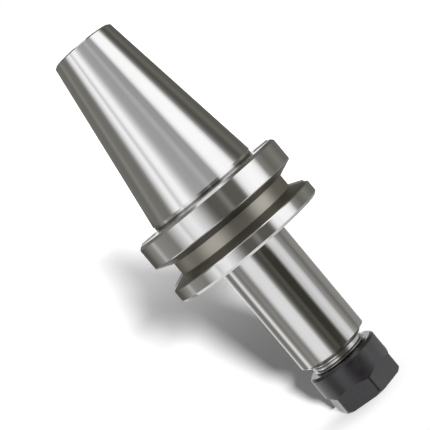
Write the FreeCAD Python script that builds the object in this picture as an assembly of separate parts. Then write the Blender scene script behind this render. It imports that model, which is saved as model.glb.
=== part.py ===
import FreeCAD, Part
import math
import os
from FreeCAD import Vector

# Collet chuck holder with a 7/24 taper shank of size 40, a V-groove tool-changer
# flange, a plain nose, a size 16 spring collet and a hexagon clamping nut.
# Millimetres. The axis is +Z, from the nut's front face (height 0) to the small
# end of the taper. The two drive key slots lie along X.

# --- taper shank ---
gauge_length = 94.9              # gauge line above the nut's front face
gauge_diameter = 44.45
taper_rise = 7.0 / 24.0          # change of diameter for each millimetre of length
taper_length = 65.4
taper_end_chamfer = 0.5
taper_relief_depth = 0.3         # undercut between the taper and the flange face

# --- flange ---
flange_diameter = 63.0
flange_face_drop = 2.0           # gauge line to the face beside the taper
flange_underside_drop = 27.0     # gauge line to the face beside the nose
flange_edge_chamfer = 1.0
groove_edge_chamfer = 0.3
groove_centre_drop = 16.6
groove_mouth_width = 10.0
groove_floor_width = 4.9
groove_floor_diameter = 51.2
key_slot_width = 16.1
key_slot_floor = 22.5            # axis to the floor of each slot
key_slot_corner_radius = 1.0

# --- nose ---
nose_diameter = 28.0
nose_root_chamfer = 0.6
nose_end_chamfer_length = 1.8
neck_shoulder = 0.2              # step between the end chamfer and the thread's crest
neck_showing = 3.0               # threaded neck left open above the nut
thread_diameter = 22.0
thread_pitch = 1.5
thread_root_share = 1.2269       # diameter lost to the thread, in pitches

# --- bores through the shank ---
shank_bore_diameter = 10.6
shank_bore_depth = 27.5          # from the nose's end face
drill_point_angle = 118.0
stop_bore_diameter = 8.92        # tapping bore of the stop screw's M10 x 1 thread
stop_bore_length = 36.0
passage_diameter = 7.0
stud_pilot_diameter = 17.0
stud_pilot_depth = 7.0
stud_bore_diameter = 13.84       # tapping bore of the pull stud's M16 thread
stud_bore_depth = 36.0
stud_mouth_chamfer = 0.5

# --- spring collet ---
collet_recess = 0.4              # collet's face behind the nut's face
collet_length = 27.5
collet_bore_diameter = 10.0
collet_face_diameter = 12.6
collet_head_diameter = 16.6
collet_head_length = 4.6         # face to the extraction groove
collet_face_angle = 30.0         # half angle of the front cone
collet_groove_width = 2.0
collet_groove_diameter = 13.8
collet_cone_diameter = 17.0
collet_cone_angle = 8.0          # half angle of the long cone
collet_slit_pairs = 8
collet_slit_width = 0.6
collet_slit_overrun = 0.5
collet_front_slit_length = 22.5
collet_rear_slit_length = 21.5
collet_seat_clearance = 0.03

# --- clamping nut ---
nut_height = 16.7
nut_diameter = 28.4
nut_across_flats = 25.0
nut_flat_height = 8.3            # top of each flat, at its middle
nut_cutter_radius = 16.0         # cutter that mills the flats from the front
nut_corner_angle = 10.0          # corner nearest -Y, turned towards +X
nut_front_chamfer = 0.8          # radial depth of the turned front edge
nut_front_chamfer_angle = 45.0
nut_top_chamfer = 0.9
nut_opening_clearance = 0.25     # round the collet's face
nut_thread_clearance = 0.09
nut_thread_mouth = 0.9
nut_thread_length = 7.6
nut_nose_gap = 2.0               # end of the nut's thread to the nose's end face
nut_cavity_clearance = 0.8       # round the large end of the collet's long cone
nut_cone_clearance = 0.04
nut_head_clearance = 0.25
nut_lip_thickness = 1.4
nut_lip_undersize = 0.3          # radius of the extraction lip under the collet's head
nut_lip_groove_clearance = 0.4   # nearest the lip comes to the groove's floor

# --- length stop screw ---
stop_screw_clearance = 0.04
stop_screw_length = 14.0
stop_screw_set_in = 8.4          # start of its thread to the screw's tool end
stop_screw_hole_diameter = 3.0
stop_screw_socket_flats = 5.0
stop_screw_socket_depth = 5.0

# --- heights that follow from the sizes above ---
small_end_z = gauge_length + taper_length
flange_face_z = gauge_length - flange_face_drop
flange_underside_z = gauge_length - flange_underside_drop
groove_z = gauge_length - groove_centre_drop
neck_top_z = nut_height + neck_showing
nose_edge_z = neck_top_z + nose_end_chamfer_length
collet_rear_z = collet_recess + collet_length
collet_groove_z = collet_recess + collet_head_length
collet_cone_z = collet_groove_z + collet_groove_width
nut_thread_z = nut_height - nut_thread_length
nose_face_z = nut_thread_z + nut_nose_gap
shank_bore_end_z = nose_face_z + shank_bore_depth
thread_core_radius = (thread_diameter - thread_root_share * thread_pitch) / 2
cone_slope = math.tan(math.radians(collet_cone_angle))
face_slope = math.tan(math.radians(collet_face_angle))
drill_slope = math.tan(math.radians(drill_point_angle / 2))
stop_radius = stop_bore_diameter / 2
stop_start_z = shank_bore_end_z + (shank_bore_diameter / 2 - stop_radius) / drill_slope


def cone_radius(height):
    """Radius of the collet's long cone at this height."""
    return collet_cone_diameter / 2 - (height - collet_cone_z) * cone_slope


def cone_height(radius):
    """Height at which the collet's long cone has this radius."""
    return collet_cone_z + (collet_cone_diameter / 2 - radius) / cone_slope


def turned(profile):
    """Solid of revolution of a closed outline of (radius, height) points."""
    points = [Vector(radius, 0, height) for radius, height in profile]
    face = Part.Face(Part.makePolygon(points + points[:1]))
    return face.revolve(Vector(0, 0, 0), Vector(0, 0, 1), 360)


def save(shape, node):
    """Write one node as a STEP file."""
    shape.exportStep(os.path.join("parts", node + ".step"))


def holder_outline():
    """Outside of the holder, from the small end of the taper to the nose's end."""
    gauge_radius = gauge_diameter / 2
    small_radius = gauge_radius - taper_rise * taper_length / 2
    chamfer_drop = taper_end_chamfer
    chamfer_radius = small_radius - taper_end_chamfer + taper_rise * chamfer_drop / 2
    relief_radius = gauge_radius - taper_relief_depth
    flange_radius = flange_diameter / 2
    floor_radius = groove_floor_diameter / 2
    half_mouth = groove_mouth_width / 2
    half_floor = groove_floor_width / 2
    lean = (half_mouth - half_floor) / (flange_radius - floor_radius)
    edge = groove_edge_chamfer
    return [
        (chamfer_radius, small_end_z),
        (small_radius + taper_rise * chamfer_drop / 2, small_end_z - chamfer_drop),
        (gauge_radius, gauge_length),
        (relief_radius, gauge_length),
        (relief_radius, flange_face_z),
        (flange_radius - flange_edge_chamfer, flange_face_z),
        (flange_radius, flange_face_z - flange_edge_chamfer),
        (flange_radius, groove_z + half_mouth + edge),
        (flange_radius - edge, groove_z + half_mouth - edge * lean),
        (floor_radius, groove_z + half_floor),
        (floor_radius, groove_z - half_floor),
        (flange_radius - edge, groove_z - half_mouth + edge * lean),
        (flange_radius, groove_z - half_mouth - edge),
        (flange_radius, flange_underside_z + flange_edge_chamfer),
        (flange_radius - flange_edge_chamfer, flange_underside_z),
        (nose_diameter / 2 + nose_root_chamfer, flange_underside_z),
        (nose_diameter / 2, flange_underside_z - nose_root_chamfer),
        (nose_diameter / 2, nose_edge_z),
        (thread_diameter / 2 + neck_shoulder, neck_top_z),
        (thread_core_radius, neck_top_z),
        (thread_core_radius, nose_face_z),
    ]


def holder_bores():
    """Inside of the holder, from the collet seat up to the pull stud's mouth."""
    seat_radius = cone_radius(nose_face_z) + collet_seat_clearance
    shank_radius = shank_bore_diameter / 2
    seat_end_z = cone_height(shank_radius - collet_seat_clearance)
    passage_radius = passage_diameter / 2
    pilot_radius = stud_pilot_diameter / 2
    stud_radius = stud_bore_diameter / 2
    stop_end_z = stop_start_z + stop_bore_length
    passage_start_z = stop_end_z + (stop_radius - passage_radius) / drill_slope
    stud_floor_z = small_end_z - stud_bore_depth
    pilot_floor_z = small_end_z - stud_pilot_depth
    point_depth = (stud_radius - passage_radius) / drill_slope
    return [
        (seat_radius, nose_face_z),
        (shank_radius, seat_end_z),
        (shank_radius, shank_bore_end_z),
        (stop_radius, stop_start_z),
        (stop_radius, stop_end_z),
        (passage_radius, passage_start_z),
        (passage_radius, stud_floor_z - point_depth),
        (stud_radius, stud_floor_z),
        (stud_radius, pilot_floor_z),
        (pilot_radius, pilot_floor_z),
        (pilot_radius, small_end_z - stud_mouth_chamfer),
        (pilot_radius + stud_mouth_chamfer, small_end_z),
    ]


def key_slot():
    """Cutter for the drive key slot on the +X side, open above and below."""
    reach = flange_diameter / 2 - key_slot_floor + flange_edge_chamfer
    height = flange_face_z - flange_underside_z + 2 * flange_edge_chamfer
    corner = Vector(key_slot_floor, -key_slot_width / 2, flange_underside_z - flange_edge_chamfer)
    block = Part.makeBox(reach, key_slot_width, height, corner)
    inner_edges = []
    for edge in block.Edges:
        ends = [vertex.Point for vertex in edge.Vertexes]
        upright = abs(ends[0].z - ends[1].z) > height / 2
        at_floor = abs(ends[0].x - key_slot_floor) < 1e-6
        if upright and at_floor:
            inner_edges.append(edge)
    return block.makeFillet(key_slot_corner_radius, inner_edges)


def holder_body():
    """Taper, flange, nose and all their bores, turned from one bar of steel."""
    body = turned(holder_outline() + holder_bores())
    slot = key_slot()
    for turn in (0, 180):
        cutter = slot.copy()
        cutter.rotate(Vector(0, 0, 0), Vector(0, 0, 1), turn)
        body = body.cut(cutter)
    return body


def collet_slits(low, high, first_angle):
    """Ring of radial saw cuts between two heights."""
    reach = collet_cone_diameter
    corner = Vector(0, -collet_slit_width / 2, low)
    slit = Part.makeBox(reach, collet_slit_width, high - low, corner)
    cuts = []
    for number in range(collet_slit_pairs):
        cut = slit.copy()
        angle = first_angle + 360.0 * number / collet_slit_pairs
        cut.rotate(Vector(0, 0, 0), Vector(0, 0, 1), angle)
        cuts.append(cut)
    return cuts


def spring_collet():
    """Collet with its face cone, extraction groove, long cone and saw cuts."""
    bore = collet_bore_diameter / 2
    face = collet_face_diameter / 2
    head = collet_head_diameter / 2
    groove = collet_groove_diameter / 2
    body = turned([
        (bore, collet_recess),
        (face, collet_recess),
        (head, collet_recess + (head - face) / face_slope),
        (head, collet_groove_z),
        (groove, collet_groove_z),
        (groove, collet_cone_z),
        (collet_cone_diameter / 2, collet_cone_z),
        (cone_radius(collet_rear_z), collet_rear_z),
        (bore, collet_rear_z),
    ])
    half_step = 180.0 / collet_slit_pairs
    front_top = collet_recess + collet_front_slit_length
    rear_low = collet_rear_z - collet_rear_slit_length
    cuts = collet_slits(collet_recess - collet_slit_overrun, front_top, 0.0)
    cuts += collet_slits(rear_low, collet_rear_z + collet_slit_overrun, half_step)
    return body.cut(cuts)


def lip_radius():
    """Radius of the nut's extraction lip, which hooks into the collet's groove."""
    return collet_head_diameter / 2 - nut_lip_undersize


def lip_offset():
    """How far off centre the lip is bored."""
    return lip_radius() - collet_groove_diameter / 2 - nut_lip_groove_clearance


def lip_low_z():
    """Underside of the lip, in the middle of the collet's groove."""
    return collet_groove_z + (collet_groove_width - nut_lip_thickness) / 2


def nut_blank():
    """Round nut with its thread bore, cavity and cone seat, before milling."""
    outer = nut_diameter / 2
    face = collet_face_diameter / 2
    opening = face + nut_opening_clearance
    head = collet_head_diameter / 2 + nut_head_clearance
    cavity = collet_cone_diameter / 2 + nut_cavity_clearance
    minor = thread_core_radius + nut_thread_clearance
    lip_reach = lip_radius() - lip_offset()
    lip_high_z = lip_low_z() + nut_lip_thickness
    chamfer_slope = math.tan(math.radians(nut_front_chamfer_angle))
    seat_face = face + nut_cone_clearance / math.cos(math.radians(collet_face_angle))
    return turned([
        (opening, 0),
        (outer - nut_front_chamfer, 0),
        (outer, nut_front_chamfer * chamfer_slope),
        (outer, nut_height - nut_top_chamfer),
        (outer - nut_top_chamfer, nut_height),
        (minor + nut_thread_mouth, nut_height),
        (minor, nut_height - nut_thread_mouth),
        (minor, nut_thread_z),
        (cavity, nut_thread_z),
        (cavity, lip_high_z),
        (lip_reach, lip_high_z),
        (lip_reach, lip_low_z()),
        (head, lip_low_z()),
        (head, collet_recess + (head - seat_face) / face_slope),
        (opening, collet_recess + (opening - seat_face) / face_slope),
    ])


def clamping_nut():
    """Nut with six flats milled from the front and an off-centre lip."""
    lip_centre = Vector(lip_offset(), 0, lip_low_z())
    cuts = [Part.makeCylinder(lip_radius(), nut_lip_thickness, lip_centre)]
    cutter_z = nut_flat_height - nut_cutter_radius
    for side in range(6):
        angle = math.radians(nut_corner_angle - 60 + 60 * side)
        normal = Vector(math.cos(angle), math.sin(angle), 0)
        start = normal * (nut_across_flats / 2) + Vector(0, 0, cutter_z)
        cuts.append(Part.makeCylinder(nut_cutter_radius, nut_diameter, start, normal))
    return nut_blank().cut(cuts)


def length_stop_screw():
    """Set screw with a through hole and a hexagon socket facing the taper."""
    radius = stop_radius - stop_screw_clearance
    hole = stop_screw_hole_diameter / 2
    low = stop_start_z + stop_screw_set_in
    high = low + stop_screw_length
    screw = turned([
        (hole, low),
        (radius, low),
        (radius, high),
        (hole, high),
    ])
    corner_radius = stop_screw_socket_flats / 2 / math.cos(math.radians(30))
    corners = []
    for side in range(7):
        angle = math.radians(60 * side)
        x = corner_radius * math.cos(angle)
        y = corner_radius * math.sin(angle)
        corners.append(Vector(x, y, high - stop_screw_socket_depth))
    socket = Part.Face(Part.makePolygon(corners)).extrude(Vector(0, 0, stop_screw_length))
    return screw.cut(socket)


os.makedirs("parts", exist_ok=True)
save(holder_body(), "holder_body")
save(spring_collet(), "spring_collet")
save(clamping_nut(), "clamping_nut")
save(length_stop_screw(), "length_stop_screw")
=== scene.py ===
import bpy, bmesh, math
from mathutils import Matrix, Vector


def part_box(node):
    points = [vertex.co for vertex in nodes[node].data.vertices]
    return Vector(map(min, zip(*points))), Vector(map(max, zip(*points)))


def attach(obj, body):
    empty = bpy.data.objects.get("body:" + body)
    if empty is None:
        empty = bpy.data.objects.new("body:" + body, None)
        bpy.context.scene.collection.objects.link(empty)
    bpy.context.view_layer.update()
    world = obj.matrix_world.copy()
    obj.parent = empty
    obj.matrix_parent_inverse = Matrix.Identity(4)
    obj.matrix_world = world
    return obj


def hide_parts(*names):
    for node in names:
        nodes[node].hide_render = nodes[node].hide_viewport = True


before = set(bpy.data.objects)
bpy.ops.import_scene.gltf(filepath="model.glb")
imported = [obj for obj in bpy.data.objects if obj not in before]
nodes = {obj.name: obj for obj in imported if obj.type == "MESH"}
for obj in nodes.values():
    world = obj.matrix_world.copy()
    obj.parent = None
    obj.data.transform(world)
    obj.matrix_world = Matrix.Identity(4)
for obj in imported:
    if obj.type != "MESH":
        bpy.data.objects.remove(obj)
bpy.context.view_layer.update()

# ---------------------------------------------------------------------------
# Holder body: taper, flange, nose and neck turned from one bar of case-hardened
# steel. The taper, the lands and the nose are ground; the groove is left as
# turned, the key slots as milled, and the bores are drilled and reamed.
# ---------------------------------------------------------------------------
small_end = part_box("holder_body")[1].z
gauge_z = small_end - 0.0654
flange_top = gauge_z - 0.0020
flange_bottom = gauge_z - 0.0270
groove_z = gauge_z - 0.0166
groove_half_mouth = 0.0050
groove_floor = 0.0256
key_floor = 0.0225
key_half_width = 0.00805
bore_edge = 0.0088               # everything nearer the axis is inside a bore
stud_thread_bottom = small_end - 0.0360
stud_thread_top = small_end - 0.0070
stud_pitch = 0.0020

steel_colour = (0.635, 0.632, 0.635)
turned_colour = (0.420, 0.400, 0.360)
flank_colour = (0.230, 0.215, 0.190)
# painted shade: dark colour for the shade in the undercut above the flange
painted_relief_shade = (0.200, 0.195, 0.180)
milled_colour = (0.520, 0.510, 0.495)
bore_colour = (0.300, 0.290, 0.280)


class Wire:
    """One value in a material; arithmetic on it adds Math nodes."""

    def __init__(self, finish, socket):
        self.finish = finish
        self.socket = socket

    def __add__(self, other):
        return self.finish.maths("ADD", self, other)

    def __sub__(self, other):
        return self.finish.maths("SUBTRACT", self, other)

    def __rsub__(self, other):
        return self.finish.maths("SUBTRACT", other, self)

    def __mul__(self, other):
        return self.finish.maths("MULTIPLY", self, other)

    def __truediv__(self, other):
        return self.finish.maths("DIVIDE", self, other)

    def __pow__(self, other):
        return self.finish.maths("POWER", self, other)

    __radd__ = __add__
    __rmul__ = __mul__

    def step(self, low, high):
        """0 below low and 1 above high, with a soft edge between; low may be the larger."""
        sockets = {"Value": self, "From Min": low, "From Max": high}
        return self.finish.node("ShaderNodeMapRange", {"interpolation_type": "SMOOTHSTEP"}, sockets)

    def within(self, low, high, edge):
        """1 between low and high, 0 outside."""
        return self.step(low - edge, low + edge) * self.step(high + edge, high - edge)


class Finish:
    """Node tree of one material or of the world."""

    def __init__(self, owner):
        self.owner = owner
        owner.use_nodes = True
        self.tree = owner.node_tree
        self.tree.nodes.clear()

    def node(self, kind, settings=None, sockets=None, out=0):
        """Adds a node: its settings first, then a value or a Wire for each socket."""
        made = self.tree.nodes.new(kind)
        for name, value in (settings or {}).items():
            setattr(made, name, value)
        for name, value in (sockets or {}).items():
            if isinstance(value, Wire):
                self.tree.links.new(value.socket, made.inputs[name])
            elif isinstance(value, tuple) and len(value) == 3 and made.inputs[name].type == "RGBA":
                made.inputs[name].default_value = (*value, 1.0)
            else:
                made.inputs[name].default_value = value
        return Wire(self, made.outputs[out])

    def maths(self, operation, *values):
        """One Math node on values or Wires."""
        return self.node("ShaderNodeMath", {"operation": operation}, dict(enumerate(values)))

    def place(self):
        """x, y and z on the piece, in metres, and the distance from the spindle axis."""
        at = self.node("ShaderNodeTexCoord", out="Object")
        x, y, z = (self.node("ShaderNodeSeparateXYZ", {}, {0: at}, n) for n in range(3))
        return x, y, z, (x * x + y * y) ** 0.5

    def noise(self, x, y, z, detail=2.0):
        """Soft noise from 0 to 1 at a point whose unit is the size of one grain."""
        at = self.node("ShaderNodeCombineXYZ", {}, {0: x, 1: y, 2: z})
        sockets = {"Vector": at, "Scale": 1.0, "Detail": detail}
        return self.node("ShaderNodeTexNoise", {}, sockets)

    def blend(self, share, below, above):
        """Colour that goes from below to above as share goes from 0 to 1."""
        return self.node("ShaderNodeMix", {"data_type": "RGBA"}, {0: share, 6: below, 7: above}, 2)

    def metal(self, colour, roughness, height, sockets):
        """Ends the material in a metal shader; height is in metres."""
        bump = self.node("ShaderNodeBump", {}, {"Height": height, "Distance": 1.0})
        parts = {"Base Color": colour, "Roughness": roughness, "Normal": bump, **sockets}
        self.end(self.node("ShaderNodeBsdfPrincipled", {}, parts))

    def end(self, shader, kind="ShaderNodeOutputMaterial"):
        """Puts the shader on the output of the material or the world."""
        self.tree.links.new(shader.socket, self.tree.nodes.new(kind).inputs[0])


def dress(piece, material):
    """Gives a piece one material."""
    piece.data.materials.clear()
    piece.data.materials.append(material)


steel = Finish(bpy.data.materials.new("ground_steel"))
x, y, z, radius = steel.place()
along = z + radius
inside = radius.step(bore_edge + 0.0001, bore_edge - 0.0001)
groove = z.within(groove_z - groove_half_mouth, groove_z + groove_half_mouth, 0.0001)
groove = groove * radius.step(0.0240, 0.0250)
flanks = groove * radius.step(groove_floor + 0.0001, groove_floor + 0.0003)
key = radius.step(key_floor - 0.0002, key_floor + 0.0002)
key = key * y.within(-key_half_width - 0.00002, key_half_width + 0.00002, 0.00001)
key = key * z.within(flange_bottom, flange_top, 0.0001)
# Painted shade: the narrow undercut between the taper and the flange's face is coloured dark for the shade
# inside it.
relief_shade_mask = z.within(flange_top + 0.0001, flange_top + 0.0010, 0.00012)
relief_shade_mask = relief_shade_mask * radius.step(0.0224, 0.0222)
faces = z.within(flange_top - 0.00005, flange_top + 0.00005, 0.00004)
faces = faces + z.within(flange_bottom - 0.00005, flange_bottom + 0.00005, 0.00004)

fine_marks = steel.noise(x * 60, y * 60, along * 9000)
broad_marks = steel.noise(x * 30, y * 30, along * 800, 3.0)
smears = steel.noise(x * 70, y * 70, z * 35, 4.0)
rub = steel.noise(x / radius * 45, y / radius * 45, z * 12, 3.0).step(0.62, 0.72)

turn = steel.maths("ARCTAN2", y, x) / (2 * math.pi)
screw = steel.maths("PINGPONG", z / stud_pitch - turn, 0.5)
stud = inside * z.within(stud_thread_bottom, stud_thread_top, 0.0003)

colour = steel.blend(groove, steel_colour, turned_colour)
colour = steel.blend(flanks, colour, flank_colour)
colour = steel.blend(relief_shade_mask, colour, painted_relief_shade)
colour = steel.blend(key, colour, milled_colour)
colour = steel.blend(inside, colour, bore_colour)
colour = steel.blend(smears.step(0.50, 0.78) * 0.26, colour, (0.500, 0.480, 0.450))
roughness = 0.10 + 0.16 * faces + 0.34 * groove + 0.26 * key + 0.32 * inside
roughness = roughness + 0.12 * (smears - 0.5) + 0.07 * rub + 0.04 * (broad_marks - 0.5)
height = fine_marks * (0.0000004 + 0.000003 * (groove + key)) + broad_marks * 0.0000012
height = height + screw * stud * 0.0009
grinding = {"Metallic": 1.0, "Anisotropic": 0.6, "Anisotropic Rotation": 0.25}
steel.metal(colour, roughness, height, grinding)
dress(nodes["holder_body"], steel.owner)

# ---------------------------------------------------------------------------
# Thread of the neck: M22 x 1.5, right-handed, cut on the lathe below the nose's
# end chamfer and run out under its shoulder. It turns with the holder body.
# ---------------------------------------------------------------------------
neck_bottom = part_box("holder_body")[0].z
neck_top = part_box("clamping_nut")[1].z + 0.0030
thread_pitch = 0.0015
thread_crest = 0.0110
thread_root = thread_crest - 0.6134 * thread_pitch
flank = (thread_crest - thread_root) * math.tan(math.radians(30))
crest_half = thread_pitch / 16
foot_sunk = 0.0001               # how far the thread's foot lies inside the neck
end_gap = 0.0003                 # plain neck left at the two ends together
runout = 1 / 3                   # turns over which the thread fades at each end
steps_a_turn = 96
turns = (neck_top - neck_bottom - 2 * flank - end_gap) / thread_pitch

helix = bmesh.new()
rows = []
for number in range(int(turns * steps_a_turn) + 1):
    done = number / steps_a_turn
    fade = min(1.0, done / runout, (turns - done) / runout)
    crest = thread_root + (thread_crest - thread_root) * max(fade, 0.03)
    level = neck_bottom + flank + end_gap / 3 + done * thread_pitch
    foot = crest_half + flank * fade
    foot_radius = thread_root - foot_sunk
    direction = Vector((math.cos(2 * math.pi * done), math.sin(2 * math.pi * done), 0))
    section = [(foot_radius, -foot), (crest, -crest_half), (crest, crest_half), (foot_radius, foot)]
    rows.append([helix.verts.new(direction * r + Vector((0, 0, level + dz))) for r, dz in section])
for row, after in zip(rows, rows[1:]):
    for side in range(3):
        helix.faces.new((row[side], after[side], after[side + 1], row[side + 1]))
helix.faces.new(rows[0])
helix.faces.new(rows[-1][::-1])
bmesh.ops.recalc_face_normals(helix, faces=helix.faces)
mesh = bpy.data.meshes.new("neck_thread")
helix.to_mesh(mesh)
neck_thread = bpy.data.objects.new("neck_thread", mesh)
bpy.context.scene.collection.objects.link(neck_thread)

cut = Finish(bpy.data.materials.new("cut_thread"))
x, y, z, radius = cut.place()
tool_marks = cut.noise(x * 80, y * 80, (z + radius) * 12000)
stain = cut.noise(x * 120, y * 120, z * 300, 3.0)
# Painted shade: the thread's colour darkens from crest to root for the shade in its grooves; the same share
# also makes the crests smoother.
depth = radius.step(thread_root, thread_crest)
colour = cut.blend(depth, (0.34, 0.32, 0.30), (0.66, 0.65, 0.64))
colour = cut.blend(stain.step(0.55, 0.8) * 0.3, colour, (0.30, 0.27, 0.24))
cut.metal(colour, 0.40 - 0.12 * depth + 0.1 * (stain - 0.5), tool_marks * 0.000002, {"Metallic": 1.0})
dress(neck_thread, cut.owner)
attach(neck_thread, "holder")

# ---------------------------------------------------------------------------
# Spring collet: turned and ground spring steel, sawn eight times from each end.
# It snaps into the nut's lip and seats on its long cone inside the neck.
# ---------------------------------------------------------------------------
spring = Finish(bpy.data.materials.new("collet_steel"))
x, y, z, radius = spring.place()
marks = spring.noise(x * 70, y * 70, (z + radius) * 8000)
film = spring.noise(x * 160, y * 160, z * 120, 4.0)
bore = radius.step(0.0053, 0.0051)
colour = spring.blend(film.step(0.45, 0.8) * 0.35, (0.56, 0.55, 0.54), (0.38, 0.36, 0.33))
colour = spring.blend(bore * 0.5, colour, (0.30, 0.29, 0.28))
spring.metal(colour, 0.24 + 0.14 * bore + 0.12 * (film - 0.4), marks * 0.000001, {"Metallic": 1.0})
dress(nodes["spring_collet"], spring.owner)

# ---------------------------------------------------------------------------
# Clamping nut: turned bar with six milled flats, all edges broken, hardened and
# black-oxided. It screws on the neck and draws the collet into its seat.
# ---------------------------------------------------------------------------
nut_edge = 0.00016               # every sharp edge is broken by this much

shell = bmesh.new()
shell.from_mesh(nodes["clamping_nut"].data)
bmesh.ops.remove_doubles(shell, verts=shell.verts, dist=0.000001)
for face in shell.faces:
    face.smooth = True
for edge in shell.edges:
    edge.smooth = edge.calc_face_angle(0) < math.radians(20)
mesh = bpy.data.meshes.new("nut_soft_edged")
shell.to_mesh(mesh)
nut = bpy.data.objects.new("nut_soft_edged", mesh)
bpy.context.scene.collection.objects.link(nut)
bevel = nut.modifiers.new("broken_edges", "BEVEL")
bevel.width = nut_edge
bevel.segments = 2
bevel.limit_method = "ANGLE"
bevel.angle_limit = math.radians(30)
bevel.harden_normals = True

black = Finish(bpy.data.materials.new("black_oxide"))
x, y, z, radius = black.place()
turned_marks = black.noise(x * 60, y * 60, (z + radius) * 7000)
cloud = black.noise(x * 220, y * 220, z * 220, 4.0)
salts = black.noise(x * 1500, y * 1500, z * 1500, 2.0)
colour = black.blend(cloud.step(0.35, 0.75), (0.0030, 0.0030, 0.0042), (0.0065, 0.0055, 0.0062))
colour = black.blend(salts.step(0.66, 0.80) * 0.25, colour, (0.022, 0.020, 0.019))
roughness = 0.22 + 0.24 * (cloud - 0.5) + 0.08 * salts
black.metal(colour, roughness, turned_marks * 0.0000015 + salts * 0.000002, {"Metallic": 0.0, "IOR": 1.7})
dress(nut, black.owner)
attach(nut, "nut")
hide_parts("clamping_nut")

# ---------------------------------------------------------------------------
# Length stop screw: a black set screw behind the collet, with a hexagon socket
# towards the taper. The cutter's shank rests on its flat end.
# ---------------------------------------------------------------------------
stop_pitch = 0.0010

stop = Finish(bpy.data.materials.new("black_screw"))
x, y, z, radius = stop.place()
worn = stop.noise(x * 400, y * 400, z * 400, 3.0)
colour = stop.blend(worn.step(0.55, 0.75), (0.035, 0.034, 0.036), (0.12, 0.11, 0.10))
pitch_lines = stop.maths("PINGPONG", z / stop_pitch, 0.5) * radius.step(0.0040, 0.0043)
stop.metal(colour, 0.38 + 0.2 * worn, pitch_lines * 0.0004, {"Metallic": 0.4})
dress(nodes["length_stop_screw"], stop.owner)

# ---------------------------------------------------------------------------
# Paper: the chuck stands on a pale floor that turns up into a gentle sweep just
# behind the nut. Both are white paper and hidden from polished metal.
# ---------------------------------------------------------------------------
paper_reach = 3.0
sweep_foot = 0.0134
sweep_height = (paper_reach - sweep_foot) * math.tan(math.radians(12))
# Painted shade: the floor's own light is dimmed in a soft patch beside the nut, for the nut's contact
# shadow.
nut_shade = 0.50                 # share of the floor's own light lost beside the nut


def seen_directly(finish):
    """1 for the camera and for what mirrors and glass show, 0 for light on other things."""
    seen = finish.node("ShaderNodeLightPath", out="Is Camera Ray")
    for kind in ("Is Glossy Ray", "Is Transmission Ray"):
        seen = finish.maths("MAXIMUM", seen, finish.node("ShaderNodeLightPath", out=kind))
    return seen


def sheet(name, corners, glow, far_glow):
    """Flat sheet of white paper; its own light goes from glow to far_glow towards the back."""
    pale = Finish(bpy.data.materials.new(name + "_paper"))
    x, y, z, from_axis = pale.place()
    own_light = glow + (far_glow - glow) * y.step(0.05, 0.50)
    # painted shade beside the nut, strongest on its left and fading out before the fold
    shade_beside_nut = from_axis.step(0.034, 0.008) * x.step(0.018, -0.010) * y.step(sweep_foot - 0.001, -0.010)
    own_light = own_light * (1 - nut_shade * shade_beside_nut)
    paper = pale.node("ShaderNodeBsdfDiffuse", sockets={"Color": (0.86, 0.86, 0.86)})
    own = pale.node("ShaderNodeEmission", sockets={"Strength": seen_directly(pale) * own_light})
    front = pale.node("ShaderNodeAddShader", sockets={0: paper, 1: own})
    behind = pale.node("ShaderNodeNewGeometry", out="Backfacing")
    clear = pale.node("ShaderNodeBsdfTransparent")
    pale.end(pale.node("ShaderNodeMixShader", sockets={0: behind, 1: front, 2: clear}))

    flat = bpy.data.meshes.new(name)
    flat.from_pydata(corners, [], [(0, 1, 2, 3)])
    made = bpy.data.objects.new(name, flat)
    bpy.context.scene.collection.objects.link(made)
    dress(made, pale.owner)
    made.visible_glossy = False


left, right = -paper_reach, paper_reach
near_edge = [(left, -paper_reach, 0), (right, -paper_reach, 0)]
fold = [(left, sweep_foot, 0), (right, sweep_foot, 0)]
far_edge = [(left, paper_reach, sweep_height), (right, paper_reach, sweep_height)]
sheet("floor", near_edge + fold[::-1], 0.55, 0.55)
# Painted shade: the sweep's own light is faint at its foot and grows towards the back, so the cast shadow
# is darkest near the chuck.
sheet("sweep", fold + far_edge[::-1], 0.02, 0.62)

# ---------------------------------------------------------------------------
# Light: a faint even room light, and one soft lamp low behind the camera's right
# shoulder, which throws the long shadow up the sweep.
# ---------------------------------------------------------------------------
key_bearing = math.radians(10.5)
key_height = math.radians(7.0)

room = Finish(bpy.data.worlds.new("studio"))
bpy.context.scene.world = room.owner
room_light = {"Color": (1.0, 1.0, 1.0), "Strength": 0.15 + 0.85 * seen_directly(room)}
room.end(room.node("ShaderNodeBackground", sockets=room_light), "ShaderNodeOutputWorld")

key_side = math.cos(key_height) * math.sin(key_bearing)
key_near = math.cos(key_height) * math.cos(key_bearing)
lamp = bpy.data.lights.new("key", "SUN")
lamp.angle = math.radians(6.5)
lamp.energy = 9.8
key_lamp = bpy.data.objects.new("key", lamp)
key_lamp.rotation_mode = "QUATERNION"
key_way = Vector((key_side, -key_near, math.sin(key_height)))
key_lamp.rotation_quaternion = key_way.to_track_quat("Z", "Y")
key_lamp.visible_glossy = False
bpy.context.scene.collection.objects.link(key_lamp)

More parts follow.
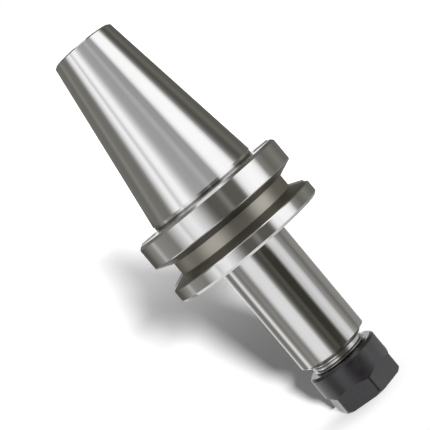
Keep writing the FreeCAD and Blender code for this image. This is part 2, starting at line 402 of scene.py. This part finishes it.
# ---------------------------------------------------------------------------
# Panels: a ring of tall light panels and dark flags round the chuck, which only
# polished metal sees. Each stop is a bearing in degrees from the camera's side,
# positive to its right, and the light there. Each height of the chuck has a row.
# ---------------------------------------------------------------------------
nut_row = [
    (-160, 0.95), (-109, 1.00), (-90, 0.80), (-76, 0.40), (-60, 0.40), (-38, 0.74), (-26, 0.74), (-5, 0.18),
    (5, 0.08), (16, 0.09), (27, 0.17), (38, 0.35), (50, 0.72), (62, 0.94), (90, 0.80), (108, 0.80),
    (125, 0.50), (150, 0.30),
]
nose_row = [
    (-150, 0.70), (-129, 0.25), (-121, 0.22), (-112, 0.34), (-102, 1.14), (-99, 1.14), (-93, 0.56),
    (-86, 0.25), (-75, 0.35), (-62, 0.30), (-49, 1.03), (-36, 1.10), (-20, 1.05), (-12, 0.34), (-7, 0.15),
    (0, 0.08), (10, 0.12), (17, 0.05), (34, 0.05), (38, 0.22), (44, 0.76), (58, 1.00), (69, 0.88),
    (76, 0.44), (98, 0.21), (112, 0.35),
]
land_row = [
    (-121, 0.12), (-99, 0.36), (-93, 0.64), (-86, 0.36), (-64, 0.28), (-46, 1.20), (-42, 0.86), (-38, 1.12),
    (-30, 1.26), (-21, 0.91), (-9, 0.25), (-4, 0.13), (6, 0.14), (12, 0.30), (16, 0.14), (29, 0.14),
    (32, 0.25), (35, 0.95), (39, 1.34), (50, 1.48), (60, 1.45), (66, 1.20), (72, 0.33), (84, 0.19),
    (101, 0.28), (117, 0.18),
]
taper_row = [
    (-111, 0.21), (-99, 0.33), (-90, 0.25), (-75, 0.23), (-69, 0.36), (-63, 0.86), (-57, 1.25), (-52, 1.38),
    (-45, 0.90), (-38, 1.38), (-31, 1.42), (-17, 0.70), (-11, 0.54), (2, 0.50), (12, 0.64), (19, 0.48),
    (31, 0.47), (39, 1.35), (46, 1.50), (66, 1.50), (72, 1.15), (77, 0.45), (84, 0.17), (93, 0.11),
    (108, 0.20), (126, 0.14),
]
back_panel = 158                 # bearing at which one broad panel closes the ring behind
back_light = 1.32
brightest = 2.0
ring_radius = 0.100
ring_bottom = -0.35
ring_top = 0.60
ring_sides = 180

ring = bmesh.new()
columns = []
for number in range(ring_sides):
    bearing = 2 * math.pi * number / ring_sides
    spoke = Vector((math.cos(bearing), math.sin(bearing), 0)) * ring_radius
    columns.append([ring.verts.new(spoke + Vector((0, 0, level))) for level in (ring_bottom, ring_top)])
for column, after in zip(columns, columns[1:] + columns[:1]):
    ring.faces.new((column[0], after[0], after[1], column[1]))
mesh = bpy.data.meshes.new("panel_ring")
ring.to_mesh(mesh)
panel_ring = bpy.data.objects.new("panel_ring", mesh)
bpy.context.scene.collection.objects.link(panel_ring)
for kind in ("camera", "diffuse", "transmission", "volume_scatter", "shadow"):
    setattr(panel_ring, "visible_" + kind, False)

panels = Finish(bpy.data.materials.new("panels"))
x, y, z, radius = panels.place()
off_front = panels.maths("ARCTAN2", x, 0 - y) / (2 * math.pi)


def row_light(stops):
    """Light round the ring; dim surroundings are a little warmer than the panels."""
    ramp = panels.node("ShaderNodeValToRGB", sockets={"Fac": off_front + 0.5})
    band = ramp.socket.node.color_ramp
    while len(band.elements) < len(stops):
        band.elements.new(1.0)
    for element, (degrees, light) in zip(band.elements, stops):
        share = light / brightest
        warmth = max(0.0, 1 - 2 * light)
        element.position = degrees / 360 + 0.5
        element.color = (share * (1 + 0.05 * warmth), share, share * (1 - 0.20 * warmth), 1.0)
    return ramp


light = panels.blend(z.step(-0.0015, 0.0015), row_light(nut_row), row_light(nose_row))
light = panels.blend(z.step(0.057, 0.061), light, row_light(land_row))
light = panels.blend(z.step(0.095, 0.105), light, row_light(taper_row))
behind = panels.maths("ABSOLUTE", off_front).step((back_panel - 7) / 360, (back_panel + 7) / 360)
light = panels.blend(behind, light, (back_light / brightest,) * 3)
panels.end(panels.node("ShaderNodeEmission", sockets={"Color": light, "Strength": brightest}))
dress(panel_ring, panels.owner)

# ---------------------------------------------------------------------------
# Camera: level with the flange, a little above the nut, rolled so that the
# chuck lies across the frame with its nut at the lower right.
# ---------------------------------------------------------------------------
camera_aim = Vector((-0.00231, 0, 0.08434))
camera_distance = 0.4491
camera_drop = math.radians(3.236)
camera_roll = math.radians(-39.916)

view = bpy.data.cameras.new("camera")
view.sensor_width = 36.0
view.lens = 105.32
camera = bpy.data.objects.new("camera", view)
bpy.context.scene.collection.objects.link(camera)
level = Matrix.Rotation(math.pi / 2 - camera_drop, 4, "X")
back = Vector((0, -math.cos(camera_drop), math.sin(camera_drop)))
camera.matrix_world = (
    Matrix.Translation(camera_aim + back * camera_distance) @ level @ Matrix.Rotation(camera_roll, 4, "Z")
)
view.clip_start = 0.01
view.clip_end = 20.0
bpy.context.scene.camera = camera
bpy.context.scene.view_settings.view_transform = "Standard"
